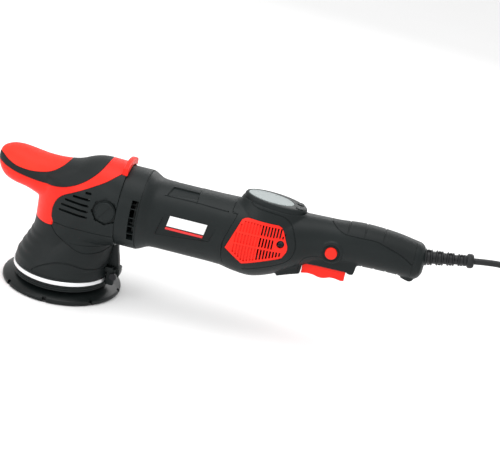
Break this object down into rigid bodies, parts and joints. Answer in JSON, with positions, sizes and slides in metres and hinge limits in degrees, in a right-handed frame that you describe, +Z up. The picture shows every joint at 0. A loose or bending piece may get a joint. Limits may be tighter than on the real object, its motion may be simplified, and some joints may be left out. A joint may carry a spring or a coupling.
{
  "type": "dual action polisher",
  "caption": "Right-angle dual action polisher with an orbiting hook plate, palm handle, paddle trigger grip, speed display and mains cord.",
  "frame": {"origin": "foot of the drive spindle axis on the hook face of the backing plate, where a polishing pad is pressed on", "axes": "+Z up along the drive spindle, +X from the spindle towards the tail of the grip along the motor axis, +Y across the machine"},
  "size_m": [0.763, 0.131, 0.154],
  "materials": {
    "black_shell": "satin",
    "black_rubber": "satin",
    "red_plastic": "satin",
    "red_rubber": "satin",
    "steel": "satin",
    "cast_alloy": "cast",
    "gear_steel": "ground",
    "cast_weight": "cast",
    "copper": "satin",
    "brass": "satin",
    "carbon": "matt",
    "bright_band": "bright",
    "plate_plastic": "glossy",
    "hook_fabric": "matt",
    "label": "satin",
    "lens": "glossy",
    "board": "matt",
    "cord_rubber": "satin",
    "dark_steel": "blackened"
  },
  "bodies": {
    "machine": {"spindle_bearings": "steel", "bearing_retainer": "cast_alloy", "retainer_screws": "dark_steel", "gear_case": "cast_alloy", "head_cover": "black_shell", "belly_cover": "black_shell", "handle_shell": "red_plastic", "handle_overmold": "black_rubber", "handle_insert": "red_rubber", "side_caps": "black_shell", "skirt": "black_rubber", "shroud_ring": "black_shell", "clamp_band": "bright_band", "clamp_block": "black_shell", "clamp_screw": "dark_steel", "skirt_strap": "black_rubber", "motor_housing": "black_shell", "label_plates": "label", "stator_core": "gear_steel", "field_windings": "copper", "motor_bearings": "steel", "brush_holders": "brass", "carbon_brushes": "carbon", "housing_left": "black_shell", "housing_right": "black_shell", "vent_cover_left": "red_plastic", "vent_cover_right": "red_plastic", "housing_screws": "dark_steel", "display_housing": "black_shell", "display_lens": "lens", "trigger_pin": "steel", "trigger_spring": "steel", "switch_body": "black_shell", "speed_module": "board", "grip_overmold": "black_rubber", "tail_cap": "black_shell", "strain_relief": "cord_rubber", "cord": "cord_rubber", "cord_coil": "cord_rubber", "coil_tie": "black_rubber", "plug": "cord_rubber", "plug_pins": "bright_band"},
    "pad": {"hook_face": "hook_fabric", "backing_plate": "plate_plastic", "plate_core": "black_shell", "plate_stud": "steel", "pad_spindle": "steel"},
    "spindle": {"pad_bearings": "steel", "eccentric_weight": "cast_weight", "drive_spindle": "gear_steel", "crown_gear": "gear_steel"},
    "armature": {"armature_shaft": "steel", "armature_core": "gear_steel", "commutator": "copper", "pinion": "gear_steel", "fan": "black_shell"},
    "trigger_lever": {"trigger": "red_plastic"},
    "lock": {"lock_button": "red_plastic"},
    "plus": {"plus_button": "black_rubber"},
    "minus": {"minus_button": "black_rubber"}
  },
  "joints": [
    {"name": "armature_spin", "type": "hinge", "parent": "machine", "child": "armature", "pos_m": [0.118, 0, 0.104], "axis": [1, 0, 0], "continuous": true},
    {"name": "spindle_spin", "type": "hinge", "parent": "machine", "child": "spindle", "pos_m": [0, 0, 0.07], "axis": [0, 0, 1], "continuous": true},
    {"name": "pad_spin", "type": "hinge", "parent": "spindle", "child": "pad", "pos_m": [0, 0.0075, 0.03], "axis": [0, 0, 1], "continuous": true},
    {"name": "trigger_press", "type": "hinge", "parent": "machine", "child": "trigger_lever", "pos_m": [0.25, 0, 0.099], "axis": [0, -1, 0], "range_deg": [0, 5], "stiffness_Nm_per_rad": 1.2, "deforming": ["trigger_spring"]},
    {"name": "lock_press", "type": "slide", "parent": "machine", "child": "lock", "axis": [0, 1, 0], "range_m": [0, 0.0025], "stiffness_N_per_m": 800},
    {"name": "plus_press", "type": "slide", "parent": "machine", "child": "plus", "axis": [-0.0698, 0, -0.9976], "range_m": [0, 0.0008], "stiffness_N_per_m": 800},
    {"name": "minus_press", "type": "slide", "parent": "machine", "child": "minus", "axis": [-0.0698, 0, -0.9976], "range_m": [0, 0.0008], "stiffness_N_per_m": 800}
  ],
  "couplings": [
    {"joint": "spindle_spin", "follows": "armature_spin", "ratio": 0.25}
  ]
}
